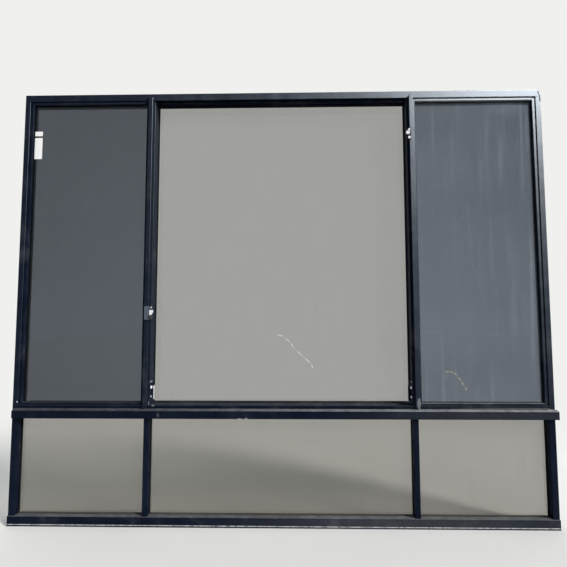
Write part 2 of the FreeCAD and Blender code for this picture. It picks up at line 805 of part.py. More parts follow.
def build_catch():
    """The catch near the top of the right meeting stile: a strip with three round lobes."""
    catch = new_body("right_catch")
    top = head_top - S.catch_drop
    left = pull_inner - S.catch_wide / 2
    strip = (left, top - S.catch_tall, left + S.catch_wide, top)
    sheet(catch, pull_front - S.strip_thick, pull_front, [strip])
    lobes = [
        (pull_inner - S.lobe_set, top - S.lobe_drop, S.lobe_radius),
        (pull_inner - S.big_lobe_set, top - S.big_lobe_drop, S.big_lobe_radius),
        (pull_inner - S.lobe_set, top - S.low_lobe_drop, S.low_lobe_radius),
    ]
    sheet(catch, pull_front - S.catch_thick, pull_front, discs=lobes, name="lobes")


bracket_foot = sill_leg_top + S.stop_room + S.stop_tall


def build_bracket(word, side):
    """An angle on the inner side of a meeting stile, with its shorter leg turned to the middle."""
    body = new_body(f"{word}_foot_bracket")
    face = stile_inner - S.bracket_thick
    tip = stile_inner - S.bracket_leg
    post(body, bracket_foot, bracket_foot + S.bracket_tall,
         [band(side, face, stile_inner, S.sash_front, sash_back)])
    leg_foot = bracket_foot + S.bracket_leg_rise
    post(body, leg_foot, leg_foot + S.bracket_leg_tall,
         [band(side, tip, face, sash_back - S.bracket_thick, sash_back)], name="leg")
    hole_y = S.sash_front + S.bracket_hole_back
    hole_z = bracket_foot + S.bracket_hole_rise
    left, right = across(side, face, stile_inner)
    holes = [(hole_y, hole_z, S.bracket_hole), (hole_y, hole_z + S.bracket_hole_step, S.bracket_hole)]
    rail(body, left, right, discs=holes, cut=True, name="holes")
    return body


def add_stop(body, side):
    """The block under the right bracket, which stops the sash at the middle."""
    low, high = across(side, stile_inner - S.stop_reach, stile_inner)
    sheet(body, S.sash_front + S.stop_inset, sash_back - S.stop_inset,
          [(low, bracket_foot - S.stop_tall, high, bracket_foot)], name="stop")


def main():
    build_lower_frame()
    build_low_lights()
    build_head()
    build_upper_sill()
    build_centre_light()
    for word, side in SIDES.items():
        build_upper_jamb(word, side)
        build_sash(word, side)
        build_screen(word, side)
        bracket = build_bracket(word, side)
        if word == "right":
            add_stop(bracket, side)
    build_latch()
    build_catch()
    doc.recompute()
    bodies = [thing for thing in doc.Objects if thing.TypeId == "PartDesign::Body"]
    for thing in doc.Objects:
        if "Invalid" in thing.State or "Error" in thing.State:
            raise RuntimeError(f"{thing.Label} failed: {thing.State}")
    for body in bodies:
        if body.Shape.isNull() or not body.Shape.isValid():
            raise RuntimeError(f"{body.Label} has no valid shape")
    os.makedirs("parts", exist_ok=True)
    for body in bodies:
        body.Shape.exportStep(f"parts/{body.Label}.step")


main()
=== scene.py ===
"""Finishes, small parts and stage for a horizontal sliding window.

The file is laid out as an add-on and run as a script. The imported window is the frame: its solids keep
their shapes and get painted, glazed and worn finishes here. The insect mesh, the screws, the blank
stickers and the sealant in an open corner are made here, on the solids that carry them.

Lengths are in metres, X runs along the window, -Y faces the room and Z is up.
"""
import math
from collections import namedtuple

import bmesh
import bpy
from mathutils import Matrix, Vector


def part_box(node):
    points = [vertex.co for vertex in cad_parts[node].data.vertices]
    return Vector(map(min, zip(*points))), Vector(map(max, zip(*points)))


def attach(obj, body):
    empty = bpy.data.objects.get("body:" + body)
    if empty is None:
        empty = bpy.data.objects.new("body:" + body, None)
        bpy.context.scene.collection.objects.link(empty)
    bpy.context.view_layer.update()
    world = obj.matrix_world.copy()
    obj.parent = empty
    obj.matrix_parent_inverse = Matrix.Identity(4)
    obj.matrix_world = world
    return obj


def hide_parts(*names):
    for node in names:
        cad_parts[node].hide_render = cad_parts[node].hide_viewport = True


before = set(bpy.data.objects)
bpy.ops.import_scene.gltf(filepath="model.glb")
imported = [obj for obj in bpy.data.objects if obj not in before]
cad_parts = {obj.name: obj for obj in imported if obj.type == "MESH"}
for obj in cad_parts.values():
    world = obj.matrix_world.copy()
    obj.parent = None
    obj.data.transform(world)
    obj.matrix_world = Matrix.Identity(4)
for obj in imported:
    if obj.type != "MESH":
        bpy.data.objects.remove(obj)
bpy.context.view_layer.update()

bl_info = {
    "name": "Sliding window finishes",
    "version": (1, 0, 0),
    "blender": (4, 5, 0),
    "location": "View3D > Sidebar > Window",
    "description": "Paints, glazes and dresses a horizontal sliding window",
    "category": "Object",
}

MM = 0.001
SIDES = {"left": -1, "right": 1}
PICTURE_WIDTH = 567
SENSOR_WIDTH = 36

# Ends of the names of the painted sections
PAINTED = ("head", "sill", "transom", "jamb", "mullion", "interlock", "stile", "_rail")

# Painted sections that the gloss panel leaves out
MATT = (
    "left_sash_outer_stile", "left_sash_bottom_rail", "right_sash_bottom_rail", "upper_sill", "transom",
    "base_sill", "low_left_jamb", "low_right_jamb", "low_left_mullion", "low_right_mullion",
    "right_interlock",
)

# A pale place in the paint, and a mark on a pane. Most pale places are rubbed paint; the broad ones on the
# transom and base sill and the long line on the upper sill are painted highlight
PalePlace = namedtuple("PalePlace", "centre radii share soft")
Mark = namedtuple("Mark", "centre radii share lean colour")


def linear(part):
    """One part of a screen colour, 0 to 1, as the linear value that shaders use."""
    return part / 12.92 if part <= 0.04045 else ((part + 0.055) / 1.055) ** 2.4


def from_screen(red, green, blue):
    """A colour as a screen shows it, 0 to 255, in linear values."""
    return tuple(linear(part / 255) for part in (red, green, blue))


# Settings that a user would change

def colour_setting(name, description, default):
    return bpy.props.FloatVectorProperty(
        name=name, description=description, subtype="COLOR", min=0, max=1, default=default)


def length_setting(name, description, default):
    return bpy.props.FloatProperty(name=name, description=description, unit="LENGTH", default=default)


class CoatSettings(bpy.types.PropertyGroup):
    """Paint of the aluminium sections."""
    colour: colour_setting("Paint", "Colour of the clean paint", from_screen(12, 19, 33))
    bare: colour_setting("Bare edge", "Colour where the paint has chipped off", from_screen(196, 197, 196))
    dust: colour_setting("Dust", "Colour of dust lying on ledges", from_screen(186, 188, 190))
    sheen: colour_setting("Sheen", "Colour of what the paint mirrors", (0.74, 0.87, 1.0))
    edge: length_setting("Edge radius", "Rounding of the section edges", 0.5 * MM)
    roughness: bpy.props.FloatProperty(
        name="Roughness", description="Roughness of the satin paint", subtype="FACTOR", min=0, max=1,
        default=0.44)


class GlassSettings(bpy.types.PropertyGroup):
    """Panes and their dirt."""
    tint: colour_setting("Centre pane", "Light that passes the clean centre pane", (0.42, 0.42, 0.405))
    # Painted shade: the left sash pane's tint is darker and bluer than the centre's, for shade behind it
    left_tint_and_shade: colour_setting(
        "Left sash pane", "Light that passes the left sash pane", (0.235, 0.265, 0.305))
    right_tint: colour_setting(
        "Right sash pane", "Light that passes the right sash pane", (0.295, 0.335, 0.40))
    # Painted shade: the low panes' tint is darker and warmer than the centre's, for the shaded ground behind
    # them
    low_tint_and_shade: colour_setting("Low panes", "Light that passes the low panes", (0.37, 0.36, 0.33))
    dirt: colour_setting("Dirt", "Colour of the dust film", from_screen(184, 188, 194))
    smear: colour_setting(
        "Smear", "Colour of the dried smear on the right sash pane", from_screen(176, 176, 140))
    scratch: colour_setting(
        "Scratch", "Colour of the scratch on the centre pane", from_screen(236, 236, 230))


class ScreenSettings(bpy.types.PropertyGroup):
    """Insect mesh."""
    pitch: length_setting("Pitch", "Distance between wires", 1.4 * MM)
    wire: length_setting("Wire", "Thickness of a wire", 0.42 * MM)


class HardwareSettings(bpy.types.PropertyGroup):
    """Screws."""
    screw_radius: length_setting("Screw head", "Radius of a screw head", 4.2 * MM)
    screw_height: length_setting("Head height", "Height of a screw head", 2.4 * MM)
    slot_width: length_setting("Recess", "Width of the cross recess", 1.1 * MM)


class StageSettings(bpy.types.PropertyGroup):
    """Camera, floor and light."""
    camera_place: bpy.props.FloatVectorProperty(
        name="Camera", description="Where the camera stands", subtype="TRANSLATION", unit="LENGTH",
        default=(0.0599, -2.1236, 0.8979))
    camera_turn: bpy.props.FloatVectorProperty(
        name="Turn", description="Camera turn to the left, tilt upwards and roll", subtype="EULER",
        unit="ROTATION", default=(math.radians(1.22), math.radians(4.57), math.radians(-0.07)))
    focal_pixels: bpy.props.FloatProperty(
        name="Focal length", description="Focal length in pixels of a square picture 567 wide", default=470)
    sky: bpy.props.FloatProperty(
        name="Soft light", description="Strength of the light from all round", default=0.36)
    lamp: bpy.props.FloatProperty(
        name="Lamp", description="Strength of the large lamp", default=3.4)
    panel: bpy.props.FloatProperty(
        name="Gloss panel", description="Power of the soft panel that mirrors in the upper right paint",
        default=17000)
    ground: colour_setting(
        "Ground", "Colour of the floor beside the camera, out of the picture", from_screen(160, 160, 160))
    paper: colour_setting("Floor", "Colour of the floor and backdrop", from_screen(240, 240, 238))


class WindowSettings(bpy.types.PropertyGroup):
    """All settings of the window."""
    coat: bpy.props.PointerProperty(type=CoatSettings)
    glass: bpy.props.PointerProperty(type=GlassSettings)
    screen: bpy.props.PointerProperty(type=ScreenSettings)
    hardware: bpy.props.PointerProperty(type=HardwareSettings)
    stage: bpy.props.PointerProperty(type=StageSettings)


# Finishes

class NodeBuilder:
    """Adds nodes to a tree one by one."""

    def __init__(self, tree):
        self.tree = tree

    def feed(self, socket, value):
        """Links a socket to another one, or sets its value."""
        if isinstance(value, bpy.types.NodeSocket):
            self.tree.links.new(value, socket)
        elif socket.type == "RGBA" and len(value) == 3:
            socket.default_value = (*value, 1)
        else:
            socket.default_value = value

    def add(self, kind, inputs=None, **traits):
        """A new node with its traits set and its inputs fed."""
        node = self.tree.nodes.new(kind)
        for trait, value in traits.items():
            setattr(node, trait, value)
        for socket, value in (inputs or {}).items():
            self.feed(node.inputs[socket], value)
        return node

    def math(self, operation, first, second=0.0, clamp=False):
        node = self.add("ShaderNodeMath", {0: first, 1: second}, operation=operation, use_clamp=clamp)
        return node.outputs[0]


class Finish(NodeBuilder):
    """A material whose patterns are laid out in metres on Object coordinates."""

    def __init__(self, name):
        self.material = bpy.data.materials.new(name)
        self.material.use_nodes = True
        super().__init__(self.material.node_tree)
        self.tree.nodes.clear()
        self.output = self.add("ShaderNodeOutputMaterial")
        self.place = self.add("ShaderNodeTexCoord").outputs["Object"]
        self.surface = self.add("ShaderNodeNewGeometry")

    def times(self, *values):
        result = values[0]
        for value in values[1:]:
            result = self.math("MULTIPLY", result, value)
        return result

    def plus(self, *values):
        """The sum, kept between 0 and 1."""
        result = values[0]
        for value in values[1:]:
            result = self.math("ADD", result, value, clamp=True)
        return result

    def fade(self, value, low, high, at_low=0.0, at_high=1.0):
        """Goes smoothly from at_low to at_high while value goes from low to high."""
        inputs = dict(enumerate((value, low, high, at_low, at_high)))
        return self.add("ShaderNodeMapRange", inputs, interpolation_type="SMOOTHSTEP").outputs[0]

    def stretched(self, scale):
        """The place, scaled along each axis, for patterns that run along one."""
        return self.add("ShaderNodeMapping", {"Vector": self.place, "Scale": scale}).outputs[0]

    def noise(self, scale, detail=3.0, roughness=0.55, vector=None, warp=0.0):
        """Noise from about 0.2 to 0.8, with scale in patches per metre."""
        inputs = {
            "Vector": vector or self.place, "Scale": scale, "Detail": detail, "Roughness": roughness,
            "Distortion": warp,
        }
        return self.add("ShaderNodeTexNoise", inputs).outputs[0]

    def blend(self, share, low, high):
        """A colour that is low where share is 0 and high where it is 1."""
        # This node's colour sockets come after those for numbers and vectors
        return self.add("ShaderNodeMix", {0: share, 6: low, 7: high}, data_type="RGBA").outputs[2]

    def axis(self, index):
        return self.add("ShaderNodeSeparateXYZ", {0: self.place}).outputs[index]

    def height_of(self, vector):
        return self.add("ShaderNodeSeparateXYZ", {0: vector}).outputs[2]

    def upward(self):
        """1 on faces that point up, 0 on upright and hanging ones."""
        return self.fade(self.height_of(self.surface.outputs["Normal"]), 0.5, 0.9)

    def spot(self, centre, radii, soft, lean=0.0):
        """A soft-edged ellipsoid round a point, 1 inside, leaned about Y."""
        inputs = {"Vector": self.place, "Location": centre, "Rotation": (0, lean, 0), "Scale": radii}
        inside = self.add("ShaderNodeMapping", inputs, vector_type="TEXTURE").outputs[0]
        length = self.add("ShaderNodeVectorMath", {0: inside}, operation="LENGTH").outputs["Value"]
        return self.fade(length, 1 - soft, 1, 1, 0)

    def dots(self, scale, radius, share):
        """Scattered dots: cells per metre, dot radius in metres and the share of cells that have one."""
        cells = self.add("ShaderNodeTexVoronoi", {"Vector": self.place, "Scale": scale})
        chosen = self.fade(self.height_of(cells.outputs["Color"]), 1 - share, 1 - share + 0.001)
        near = self.fade(cells.outputs["Distance"], radius * scale * 0.6, radius * scale, 1, 0)
        return self.times(chosen, near)

    def rounded(self, radius):
        """The normal as it would be with rounded edges."""
        return self.add("ShaderNodeBevel", {"Radius": radius}, samples=6).outputs[0]

    def edges(self, radius):
        """1 along the edges of a section, 0 on its faces."""
        normals = {0: self.rounded(radius), 1: self.surface.outputs["True Normal"]}
        node = self.add("ShaderNodeVectorMath", normals, operation="DOT_PRODUCT")
        return self.fade(node.outputs["Value"], 0.75, 0.985, 1, 0)

    def bump(self, height, strength, distance, normal=None):
        inputs = {"Height": height, "Strength": strength, "Distance": distance}
        if normal is not None:
            inputs["Normal"] = normal
        return self.add("ShaderNodeBump", inputs).outputs[0]

    def shade(self, **inputs):
        """The surface shader. Underscores in the names of its inputs stand for spaces."""
        named = {name.replace("_", " "): value for name, value in inputs.items()}
        return self.add("ShaderNodeBsdfPrincipled", named).outputs[0]

    def done(self, shader):
        self.feed(self.output.inputs["Surface"], shader)
        return self.material


def painted_finish(name, coat, wear=1.0, dust=(0.08, 0.16), rim_wear_and_highlight=0.0, foot=None, rubs=(), chalk_and_painted_light_from=None,
                   bare=None, smudges=0.05, gloss=1.12):
    """Satin dark paint with mottling, dust on ledges, chipped edges, a worn foot and rubbed patches.

    wear is the share of chips along edges. dust gives the share of dust on ledges at the left and the right;
    its rise towards the right is partly painted light, for the ledges that the light from the upper right
    makes brighter. rim gives the paleness all along the upper edges, partly wear and partly a painted
    highlight. foot is the lower and upper height of a strip worn bare near the bottom, and rubs are the pale
    places: rubbed paint, and on some sections a broad painted highlight. chalk is the depth from which the
    paint is painted pale, on the outer side of
    the glass: partly weathered paint and partly painted light that lifts the rear legs, which lie in shade.
    bare is the colour under the paint, where it isn't that of the sections. smudges is the share of pale
    smudges, and gloss the paint's refraction.
    """
    worn_edge = 1.6 * MM
    chip_radius = 1.6 * MM
    soft_edge = 0.5 * MM
    left_end, right_end = -0.9, 1.0
    pale = tuple(coat.dust)
    finish = Finish(name)

    mottle = finish.fade(finish.noise(9, detail=4), 0.35, 0.7)
    lighter = tuple(part * 1.35 + 0.001 for part in coat.colour)
    colour = finish.blend(mottle, tuple(coat.colour), lighter)
    rub = finish.fade(finish.noise(60, vector=finish.stretched((1, 1, 0.06))), 0.66, 0.8)
    rub = finish.times(rub, finish.fade(finish.noise(5, detail=2), 0.5, 0.65), 0.08)
    colour = finish.blend(rub, colour, pale)
    smudge = finish.fade(finish.noise(7, detail=5, roughness=0.65, warp=0.4), 0.5, 0.75)
    colour = finish.blend(finish.times(smudge, smudges), colour, pale)

    speck = finish.fade(finish.noise(420, detail=2), 0.66, 0.78)
    lying = finish.fade(finish.noise(35, detail=4, roughness=0.65), 0.3, 0.75, at_low=0.6, at_high=1.2)
    # Dust on upward faces, rising towards the right: real dust, and painted light for the glare from the
    # upper right
    share = finish.fade(finish.axis(0), left_end, right_end, *dust)
    dusty = finish.plus(finish.times(finish.upward(), lying, share), finish.times(speck, 0.02))
    colour = finish.blend(dusty, colour, pale)

    edge = finish.edges(worn_edge)
    chip_noise = finish.noise(230, detail=4, roughness=0.62)
    chip_patches = finish.fade(finish.noise(4.5), 0.46, 0.66)
    chips = finish.times(edge, finish.fade(chip_noise, 0.53, 0.58), chip_patches, wear)
    chips = finish.plus(chips, finish.times(finish.dots(28, chip_radius, share=0.16), 0.5))
    # Pale upper edges: partly wear, partly a painted highlight along the edges that face the light
    if rim_wear_and_highlight:
        upper = finish.fade(finish.height_of(finish.rounded(worn_edge)), 0.05, 0.4)
        rubbed = finish.fade(finish.noise(40, detail=4, roughness=0.7), 0.35, 0.6, at_low=0.4, at_high=1.2)
        chips = finish.plus(chips, finish.times(edge, upper, rubbed, rim_wear_and_highlight))
    if foot:
        along = finish.stretched((1, 0.2, 0.6))
        ragged = finish.fade(finish.noise(55, detail=4, roughness=0.7, vector=along), 0.34, 0.6, at_low=0.3)
        height = finish.axis(2)
        low, high = foot
        strip = finish.times(
            finish.fade(height, low - soft_edge, low + soft_edge),
            finish.fade(height, high - 2 * soft_edge, high, 1, 0))
        chips = finish.plus(chips, finish.times(strip, ragged))
    for place in rubs:
        ragged = finish.fade(finish.noise(160, detail=4, roughness=0.7), 0.3, 0.6, at_low=0.45)
        inside = finish.spot(place.centre, place.radii, place.soft)
        chips = finish.plus(chips, finish.times(inside, ragged, place.share))
    colour = finish.blend(chips, colour, bare or tuple(coat.bare))
    # Painted light: the paint behind the glass is paler, partly weathering, to lift the rear legs that lie
    # in shade
    if chalk_and_painted_light_from is not None:
        behind = finish.fade(finish.axis(1), chalk_and_painted_light_from, chalk_and_painted_light_from + soft_edge)
        colour = finish.blend(finish.times(behind, 0.5), colour, pale)

    smooth, rough = coat.roughness - 0.04, coat.roughness + 0.06
    roughness = finish.plus(
        finish.fade(finish.noise(22), 0.2, 0.8, smooth, rough), finish.times(dusty, 0.35))
    grain = finish.noise(1600, detail=2)
    dents = finish.noise(26, detail=2)
    texture = finish.plus(
        finish.times(grain, 0.35), finish.times(dents, 0.3), finish.times(chips, -0.3))
    normal = finish.bump(texture, strength=0.18, distance=0.6 * MM, normal=finish.rounded(coat.edge))
    return finish.done(finish.shade(
        Base_Color=colour, Roughness=roughness, IOR=gloss, Specular_Tint=tuple(coat.sheen), Normal=normal))


def glass_finish(name, tint, soil, film, streaks, marks):
    """A tinted pane with a dust film, upright streaks and marks. film and streaks are shares."""
    drop_radius = 2.2 * MM
    finish = Finish(name)
    cloud = finish.fade(finish.noise(3.2, detail=5, roughness=0.6), 0.3, 0.75, at_low=0.55, at_high=1.2)
    speck = finish.fade(finish.noise(240, roughness=0.7), 0.6, 0.8, at_high=0.5)
    upright = finish.stretched((1, 1, 0.035))
    run = finish.fade(finish.noise(42, detail=4, roughness=0.6, vector=upright, warp=0.3), 0.52, 0.75)
    dirt = finish.plus(
        finish.times(cloud, film), finish.times(speck, film, 0.6), finish.times(run, streaks),
        finish.times(finish.dots(11, drop_radius, share=0.12), streaks, 3.0))
    ragged = finish.fade(finish.noise(90, detail=4, roughness=0.7), 0.3, 0.65, at_low=0.2)
    for mark in marks:
        inside = finish.spot(mark.centre, mark.radii, soft=0.6, lean=mark.lean)
        soil = finish.blend(finish.fade(inside, 0, 0.2), soil, mark.colour)
        dirt = finish.plus(dirt, finish.times(inside, ragged, mark.share))
    colour = finish.blend(dirt, tint, soil)
    clear = finish.math("SUBTRACT", 1.0, dirt, clamp=True)
    roughness = finish.fade(dirt, 0, 0.6, at_low=0.02, at_high=0.06)
    normal = finish.bump(finish.noise(1.6, detail=2), strength=0.03, distance=2 * MM)
    pane = finish.shade(
        Base_Color=colour, Roughness=roughness, IOR=1.5, Transmission_Weight=clear, Normal=normal)
    through = finish.add("ShaderNodeBsdfTransparent", {"Color": tint}).outputs[0]
    from_lamp = finish.add("ShaderNodeLightPath").outputs["Is Shadow Ray"]
    both = finish.add("ShaderNodeMixShader", {0: from_lamp, 1: pane, 2: through}).outputs[0]
    return finish.done(both)


def rubber_finish(name):
    finish = Finish(name)
    pale = finish.fade(finish.noise(70, detail=4, roughness=0.65), 0.5, 0.8)
    colour = finish.blend(finish.times(pale, 0.25), from_screen(10, 12, 15), from_screen(64, 65, 66))
    colour = finish.blend(finish.times(finish.upward(), 0.7), colour, from_screen(122, 119, 110))
    roughness = finish.fade(finish.noise(45), 0.3, 0.7, at_low=0.7, at_high=0.88)
    normal = finish.bump(finish.noise(1200, detail=2), strength=0.2, distance=0.3 * MM)
    return finish.done(finish.shade(Base_Color=colour, Roughness=roughness, IOR=1.15, Normal=normal))


def wire_finish(name):
    finish = Finish(name)
    dusty = finish.fade(finish.noise(30, detail=4, roughness=0.6), 0.45, 0.8)
    colour = finish.blend(finish.times(dusty, 0.4), from_screen(22, 23, 26), from_screen(92, 92, 90))
    roughness = finish.fade(finish.noise(60, detail=2), 0.3, 0.7, at_low=0.5, at_high=0.7)
    return finish.done(finish.shade(Base_Color=colour, Roughness=roughness, IOR=1.2))


def metal_finish(name, colour, dull, roughness, metallic, change=None, holes=()):
    """Plated metal with fine scratches and dull patches.

    change is (axis, limit, colour): beyond that limit along that axis the piece has another colour.
    holes are dark places, given as (centre, radii).
    """
    soft_edge = 0.3 * MM
    edge_radius = 0.6 * MM
    finish = Finish(name)
    patch = finish.fade(finish.noise(160, detail=4, roughness=0.65), 0.42, 0.72)
    upright = finish.stretched((1, 1, 0.08))
    scratch = finish.fade(finish.noise(900, detail=2, vector=upright), 0.6, 0.72)
    tone = finish.blend(finish.times(patch, 0.55), colour, dull)
    if change:
        along, limit, other = change
        beyond = finish.fade(finish.axis(along), limit - soft_edge, limit + soft_edge)
        tone = finish.blend(beyond, tone, other)
    for centre, radii in holes:
        tone = finish.blend(finish.spot(centre, radii, soft=0.3), tone, from_screen(8, 9, 11))
    rough = finish.plus(
        finish.fade(patch, 0, 1, roughness, roughness + 0.2), finish.times(scratch, 0.15))
    texture = finish.plus(finish.times(scratch, 0.5), finish.times(patch, 0.4))
    normal = finish.bump(texture, strength=0.25, distance=0.3 * MM, normal=finish.rounded(edge_radius))
    return finish.done(finish.shade(Base_Color=tone, Metallic=metallic, Roughness=rough, Normal=normal))


def nylon_finish(name):
    finish = Finish(name)
    grey = finish.fade(finish.noise(200), 0.4, 0.7)
    colour = finish.blend(finish.times(grey, 0.5), from_screen(26, 26, 27), from_screen(88, 86, 82))
    roughness = finish.fade(finish.noise(300, detail=2), 0.3, 0.7, at_low=0.4, at_high=0.6)
    normal = finish.bump(finish.noise(900, detail=2), strength=0.2, distance=0.3 * MM)
    return finish.done(finish.shade(Base_Color=colour, Roughness=roughness, Normal=normal))


def paper_finish(name):
    finish = Finish(name)
    stain = finish.fade(finish.noise(55, detail=4, roughness=0.6), 0.5, 0.8)
    colour = finish.blend(finish.times(stain, 0.25), from_screen(250, 250, 248), from_screen(222, 222, 216))
    roughness = finish.fade(finish.noise(140, detail=2), 0.3, 0.7, at_low=0.45, at_high=0.65)
    normal = finish.bump(finish.noise(240), strength=0.15, distance=0.4 * MM)
    return finish.done(finish.shade(Base_Color=colour, Roughness=roughness, Normal=normal))


def give(node, material):
    """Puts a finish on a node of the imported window."""
    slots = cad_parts[node].data.materials
    slots.clear()
    slots.append(material)


# Pieces made here

def settle(piece, slot, *stands_for):
    """Hangs a finished piece on the window."""
    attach(piece, "root")
    if stands_for:
        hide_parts(*stands_for)


def place_mesh(name, mesh, material=None):
    """A new object in the scene with this mesh, and with this finish where one is given."""
    piece = bpy.data.objects.new(name, mesh)
    bpy.context.scene.collection.objects.link(piece)
    if material is not None:
        mesh.materials.clear()
        mesh.materials.append(material)
    return piece


class ShapeTree(NodeBuilder):
    """A tree of geometry nodes with named inputs, whose results are made plain meshes."""

    def __init__(self, name):
        super().__init__(bpy.data.node_groups.new(name, "GeometryNodeTree"))
        self.tree.interface.new_socket("Geometry", in_out="INPUT", socket_type="NodeSocketGeometry")
        self.tree.interface.new_socket("Geometry", in_out="OUTPUT", socket_type="NodeSocketGeometry")
        self.given = self.add("NodeGroupInput")
        self.result = self.add("NodeGroupOutput")
        self.keys = {}

    def ask(self, name, kind="NodeSocketFloat"):
        """Adds a named input and returns its socket."""
        socket = self.tree.interface.new_socket(name, in_out="INPUT", socket_type=kind)
        self.keys[name] = socket.identifier
        return next(s for s in self.given.outputs if s.identifier == socket.identifier)

    def vector(self, x=0.0, y=0.0, z=0.0):
        return self.add("ShaderNodeCombineXYZ", {0: x, 1: y, 2: z}).outputs[0]

    def join(self, *sockets):
        node = self.add("GeometryNodeJoinGeometry")
        for socket in sockets:
            self.feed(node.inputs[0], socket)
        return node.outputs[0]

    def finish(self, geometry, material):
        """Ends the tree in plain geometry with its material."""
        plain = self.add("GeometryNodeRealizeInstances", {0: geometry}).outputs[0]
        coated = self.add("GeometryNodeSetMaterial", {"Geometry": plain, "Material": material}).outputs[0]
        self.feed(self.result.inputs[0], coated)

    def bake(self, name, start_mesh, values):
        """Runs the tree on start_mesh with the given inputs and returns the result as a plain object."""
        holder = place_mesh(f"{name}_points", start_mesh)
        modifier = holder.modifiers.new("tree", "NODES")
        modifier.node_group = self.tree
        for key, value in values.items():
            modifier[self.keys[key]] = value
        graph = bpy.context.evaluated_depsgraph_get()
        mesh = bpy.data.meshes.new_from_object(holder.evaluated_get(graph))
        bpy.data.objects.remove(holder)
        mesh.name = name
        if not mesh.polygons:
            raise RuntimeError(f"{name} came out empty")
        return place_mesh(name, mesh)


def mesh_tree():
    """Level and upright wires over a rectangle, one layer behind the other."""
    layer_step = 0.45
    tree = ShapeTree("insect_mesh")
    corner = tree.ask("Corner", "NodeSocketVector")
    width = tree.ask("Width")
    height = tree.ask("Height")
    pitch = tree.ask("Pitch")
    wire = tree.ask("Wire")
    material = tree.ask("Material", "NodeSocketMaterial")
    layers = []
    for upright in (True, False):
        run, length = (width, height) if upright else (height, width)
        count = tree.math("FLOOR", tree.math("DIVIDE", run, pitch))
        depth = tree.math("MULTIPLY", wire, layer_step if upright else -layer_step)
        middle = tree.math("MULTIPLY", length, 0.5)
        first = tree.math("MULTIPLY", pitch, 0.5)
        if upright:
            start = tree.vector(first, depth, middle)
            step = tree.vector(x=pitch)
            size = tree.vector(wire, wire, length)
        else:
            start = tree.vector(middle, depth, first)
            step = tree.vector(z=pitch)
            size = tree.vector(length, wire, wire)
        places = {"Count": count, "Start Location": start, "Offset": step}
        line = tree.add("GeometryNodeMeshLine", places, mode="OFFSET")
        bar = tree.add("GeometryNodeMeshCube", {"Size": size})
        wires = {"Points": line.outputs[0], "Instance": bar.outputs[0]}
        layers.append(tree.add("GeometryNodeInstanceOnPoints", wires).outputs[0])
    moved = tree.add("GeometryNodeTransform", {"Geometry": tree.join(*layers), "Translation": corner})
    tree.finish(moved.outputs[0], material)
    return tree


def screw_tree():
    """A domed screw head with a cross recess on every point, by the point's axis and size."""
    recess_reach = 1.1
    tree = ShapeTree("screw_heads")
    radius = tree.ask("Radius")
    height = tree.ask("Height of head")
    recess = tree.ask("Recess")
    material = tree.ask("Material", "NodeSocketMaterial")
    ball = tree.add("GeometryNodeMeshUVSphere", {"Segments": 20, "Rings": 10, "Radius": 1.0})
    radii = tree.vector(radius, radius, height)
    dome = tree.add("GeometryNodeTransform", {"Geometry": ball.outputs[0], "Scale": radii})
    long_side = tree.math("MULTIPLY", radius, recess_reach)
    lift = tree.vector(z=height)
    cut = tree.add("GeometryNodeMeshBoolean", {"Mesh 1": dome.outputs[0]}, operation="DIFFERENCE")
    for size in (tree.vector(long_side, recess, height), tree.vector(recess, long_side, height)):
        bar = tree.add("GeometryNodeMeshCube", {"Size": size})
        lifted = tree.add("GeometryNodeTransform", {"Geometry": bar.outputs[0], "Translation": lift})
        tree.feed(cut.inputs["Mesh 2"], lifted.outputs[0])
    axis = tree.add("GeometryNodeInputNamedAttribute", {"Name": "axis"}, data_type="FLOAT_VECTOR")
    turn = tree.add("FunctionNodeAlignRotationToVector", {"Vector": axis.outputs["Attribute"]}, axis="Z")
    size = tree.add("GeometryNodeInputNamedAttribute", {"Name": "size"}, data_type="FLOAT_VECTOR")
    heads = tree.add("GeometryNodeInstanceOnPoints", {
        "Points": tree.given.outputs[0], "Instance": cut.outputs[0], "Rotation": turn.outputs[0],
        "Scale": size.outputs["Attribute"]})
    tree.finish(heads.outputs[0], material)
    return tree


def rounded_outline(left, right, foot, top, corner):
    """Corner points (x, z) of an upright rectangle with rounded corners."""
    steps = 4
    near_left, near_right = left + corner, right - corner
    near_foot, near_top = foot + corner, top - corner
    centres = (
        (near_right, near_top), (near_left, near_top), (near_left, near_foot), (near_right, near_foot),
    )
    points = []
    for quarter, (x, z) in enumerate(centres):
        for step in range(steps + 1):
            angle = math.radians(90 * (quarter + step / steps))
            points.append((x + corner * math.cos(angle), z + corner * math.sin(angle)))
    return points


def sheet_mesh(name, outlines, front, thick):
    """Thin upright sheets that lie with their backs on the plane at front."""
    build = bmesh.new()
    for outline in outlines:
        face = build.faces.new([build.verts.new((x, front, z)) for x, z in outline])
        lifted = bmesh.ops.extrude_face_region(build, geom=[face])
        for vertex in [item for item in lifted["geom"] if isinstance(item, bmesh.types.BMVert)]:
            vertex.co.y -= thick
    bmesh.ops.recalc_face_normals(build, faces=build.faces)
    mesh = bpy.data.meshes.new(name)
    build.to_mesh(mesh)
    build.free()
    return mesh


# Operators

